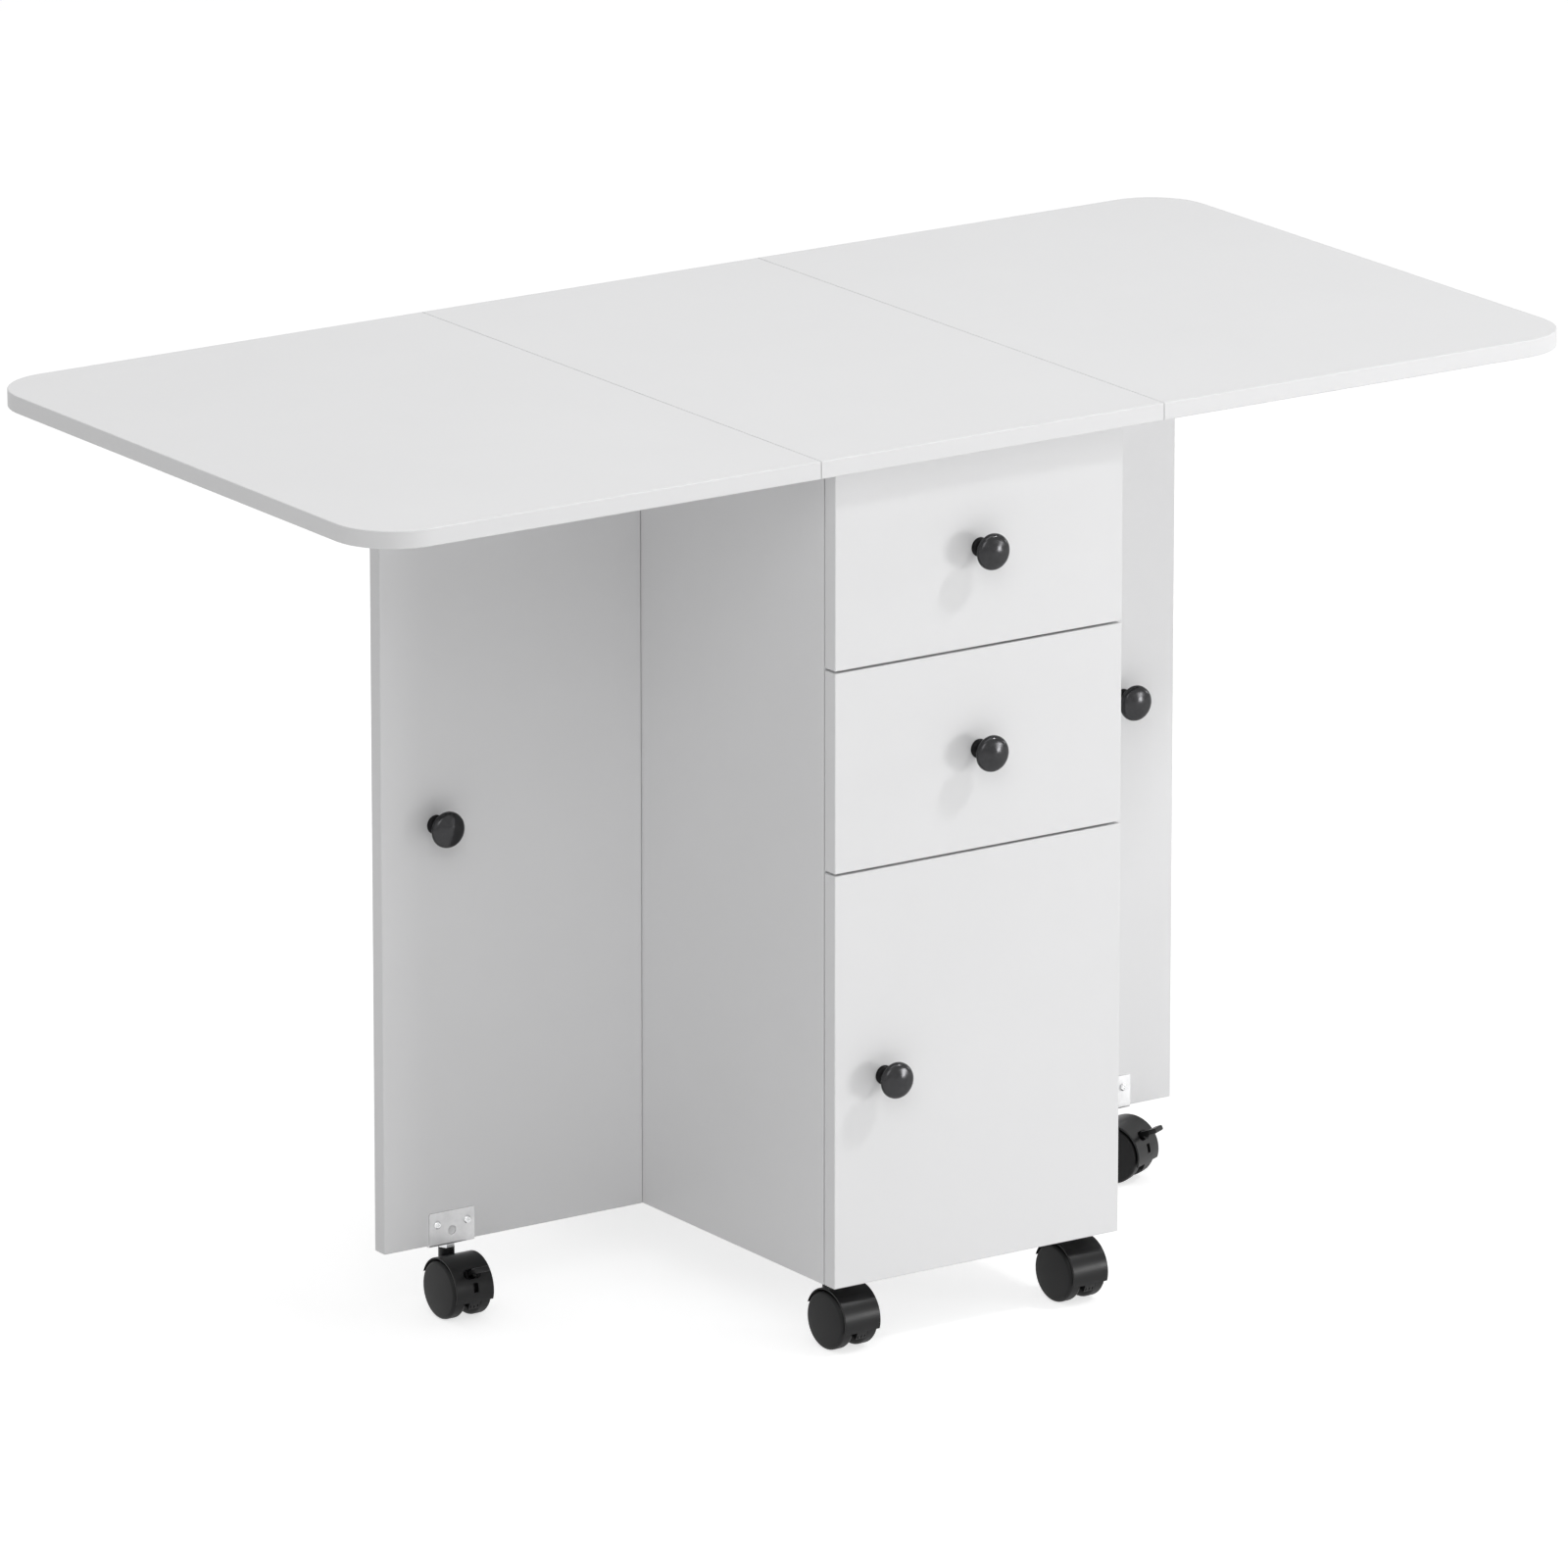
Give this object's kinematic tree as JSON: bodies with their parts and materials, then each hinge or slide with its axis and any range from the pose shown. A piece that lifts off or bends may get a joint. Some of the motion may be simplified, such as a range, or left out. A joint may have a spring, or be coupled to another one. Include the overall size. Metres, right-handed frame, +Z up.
{
  "type": "drop-leaf table",
  "caption": "Rolling drop-leaf table with a drawer cabinet under its fixed middle, gate panels that carry the raised leaves, and braked swivel castors.",
  "frame": {"origin": "floor level at the centre of the bounding box", "axes": "+Z up, X along the open table top, drawers and door face -Y"},
  "size_m": [1.2, 0.606, 0.775],
  "materials": {
    "white_laminate": "white melamine faced board, satin",
    "hardboard": "white painted thin board, satin",
    "dowel_wood": "plain beech",
    "knob_metal": "dark gunmetal, satin",
    "zinc_steel": "bright zinc plated",
    "castor_shell": "moulded black nylon, satin",
    "castor_wheel": "moulded black nylon, matt",
    "runner_plastic": "white plastic, matt"
  },
  "bodies": {
    "cabinet": {"centre_top": "white_laminate", "left_side_panel": "white_laminate", "right_side_panel": "white_laminate", "bottom_board": "white_laminate", "drawer_shelf": "white_laminate", "back_panel": "white_laminate", "cam_locks_and_bolts": "zinc_steel", "wooden_dowels": "dowel_wood", "drawer_runner_strips": "runner_plastic", "leaf_hinge_fixed_halves": "zinc_steel", "gate_hinge_fixed_halves": "zinc_steel", "door_hinge_arms": "zinc_steel", "cabinet_screws": "zinc_steel", "cabinet_castor_stems": "zinc_steel", "castor_insert_nuts": "zinc_steel"},
    "left_leaf": {"left_leaf_board": "white_laminate", "left_leaf_hinge_halves": "zinc_steel", "left_leaf_pad": "runner_plastic"},
    "right_leaf": {"right_leaf_board": "white_laminate", "right_leaf_hinge_halves": "zinc_steel", "right_leaf_pad": "runner_plastic"},
    "left_gate": {"left_gate_panel": "white_laminate", "left_gate_bracket": "zinc_steel", "left_gate_hinge_halves": "zinc_steel", "left_gate_screws": "zinc_steel", "left_gate_knob": "knob_metal", "left_gate_castor_stem": "zinc_steel"},
    "right_gate": {"right_gate_panel": "white_laminate", "right_gate_bracket": "zinc_steel", "right_gate_hinge_halves": "zinc_steel", "right_gate_screws": "zinc_steel", "right_gate_knob": "knob_metal", "right_gate_castor_stem": "zinc_steel"},
    "upper_drawer": {"upper_drawer_front": "white_laminate", "upper_drawer_sides": "white_laminate", "upper_drawer_back": "white_laminate", "upper_drawer_bottom": "hardboard", "upper_drawer_knob": "knob_metal"},
    "lower_drawer": {"lower_drawer_front": "white_laminate", "lower_drawer_sides": "white_laminate", "lower_drawer_back": "white_laminate", "lower_drawer_bottom": "hardboard", "lower_drawer_knob": "knob_metal"},
    "door": {"door_panel": "white_laminate", "door_knob": "knob_metal", "door_hinge_cups": "zinc_steel"},
    "front_left_castor_swivel": {"front_left_castor_hood": "castor_shell"},
    "front_left_castor_roller": {"front_left_castor_wheels": "castor_wheel"},
    "front_right_castor_swivel": {"front_right_castor_hood": "castor_shell"},
    "front_right_castor_roller": {"front_right_castor_wheels": "castor_wheel"},
    "rear_left_castor_swivel": {"rear_left_castor_hood": "castor_shell"},
    "rear_left_castor_roller": {"rear_left_castor_wheels": "castor_wheel"},
    "rear_right_castor_swivel": {"rear_right_castor_hood": "castor_shell"},
    "rear_right_castor_roller": {"rear_right_castor_wheels": "castor_wheel"},
    "left_gate_castor_swivel": {"left_gate_castor_hood": "castor_shell"},
    "left_gate_castor_roller": {"left_gate_castor_wheels": "castor_wheel"},
    "left_gate_castor_brake": {"left_gate_brake_lever": "castor_shell"},
    "right_gate_castor_swivel": {"right_gate_castor_hood": "castor_shell"},
    "right_gate_castor_roller": {"right_gate_castor_wheels": "castor_wheel"},
    "right_gate_castor_brake": {"right_gate_brake_lever": "castor_shell"}
  },
  "joints": [
    {"name": "left_leaf_hinge", "type": "hinge", "parent": "cabinet", "child": "left_leaf", "pos_m": [-0.17, 0.003, 0.7588], "axis": [0, 1, 0], "range_deg": [0, 2]},
    {"name": "right_leaf_hinge", "type": "hinge", "parent": "cabinet", "child": "right_leaf", "pos_m": [0.17, 0.003, 0.7588], "axis": [0, -1, 0], "range_deg": [0, 2]},
    {"name": "left_gate_swing", "type": "hinge", "parent": "cabinet", "child": "left_gate", "pos_m": [-0.1462, 0.0272, 0.409], "axis": [0, 0, -1], "range_deg": [0, 90]},
    {"name": "right_gate_swing", "type": "hinge", "parent": "cabinet", "child": "right_gate", "pos_m": [0.1462, 0.0272, 0.409], "axis": [0, 0, 1], "range_deg": [0, 90]},
    {"name": "upper_drawer_slide", "type": "slide", "parent": "cabinet", "child": "upper_drawer", "axis": [0, -1, 0], "range_m": [0, 0.28]},
    {"name": "lower_drawer_slide", "type": "slide", "parent": "cabinet", "child": "lower_drawer", "axis": [0, -1, 0], "range_m": [0, 0.28]},
    {"name": "door_hinge", "type": "hinge", "parent": "cabinet", "child": "door", "pos_m": [0.1375, -0.271, 0.2385], "axis": [0, 0, 1], "range_deg": [0, 95]},
    {"name": "front_left_castor_turn", "type": "hinge", "parent": "cabinet", "child": "front_left_castor_swivel", "pos_m": [-0.115, -0.23, 0.045], "axis": [0, 0, 1], "continuous": true},
    {"name": "front_left_castor_roll", "type": "hinge", "parent": "front_left_castor_swivel", "child": "front_left_castor_roller", "pos_m": [-0.11413, -0.24668, 0.025], "axis": [0.9986, 0.0523, 0], "continuous": true},
    {"name": "front_right_castor_turn", "type": "hinge", "parent": "cabinet", "child": "front_right_castor_swivel", "pos_m": [0.115, -0.23, 0.045], "axis": [0, 0, 1], "continuous": true},
    {"name": "front_right_castor_roll", "type": "hinge", "parent": "front_right_castor_swivel", "child": "front_right_castor_roller", "pos_m": [0.11587, -0.24668, 0.025], "axis": [0.9986, 0.0523, 0], "continuous": true},
    {"name": "rear_left_castor_turn", "type": "hinge", "parent": "cabinet", "child": "rear_left_castor_swivel", "pos_m": [-0.054, 0.237, 0.045], "axis": [0, 0, 1], "continuous": true},
    {"name": "rear_left_castor_roll", "type": "hinge", "parent": "rear_left_castor_swivel", "child": "rear_left_castor_roller", "pos_m": [-0.054, 0.2203, 0.025], "axis": [1, 0, 0], "continuous": true},
    {"name": "rear_right_castor_turn", "type": "hinge", "parent": "cabinet", "child": "rear_right_castor_swivel", "pos_m": [0.054, 0.237, 0.045], "axis": [0, 0, 1], "continuous": true},
    {"name": "rear_right_castor_roll", "type": "hinge", "parent": "rear_right_castor_swivel", "child": "rear_right_castor_roller", "pos_m": [0.054, 0.2203, 0.025], "axis": [1, 0, 0], "continuous": true},
    {"name": "left_gate_castor_turn", "type": "hinge", "parent": "left_gate", "child": "left_gate_castor_swivel", "pos_m": [-0.3343, 0.0165, 0.045], "axis": [0, 0, 1], "continuous": true},
    {"name": "left_gate_castor_roll", "type": "hinge", "parent": "left_gate_castor_swivel", "child": "left_gate_castor_roller", "pos_m": [-0.3343, -0.0002, 0.025], "axis": [1, 0, 0], "continuous": true},
    {"name": "left_gate_brake_press", "type": "hinge", "parent": "left_gate_castor_swivel", "child": "left_gate_castor_brake", "pos_m": [-0.3343, -0.01177, 0.03879], "axis": [1, 0, 0], "range_deg": [0, 12]},
    {"name": "right_gate_castor_turn", "type": "hinge", "parent": "right_gate", "child": "right_gate_castor_swivel", "pos_m": [0.3343, 0.0165, 0.045], "axis": [0, 0, 1], "continuous": true},
    {"name": "right_gate_castor_roll", "type": "hinge", "parent": "right_gate_castor_swivel", "child": "right_gate_castor_roller", "pos_m": [0.34188, 0.00162, 0.025], "axis": [0.891, 0.454, 0], "continuous": true},
    {"name": "right_gate_brake_press", "type": "hinge", "parent": "right_gate_castor_swivel", "child": "right_gate_castor_brake", "pos_m": [0.34713, -0.00869, 0.03879], "axis": [0.891, 0.454, 0], "range_deg": [0, 12]}
  ]
}
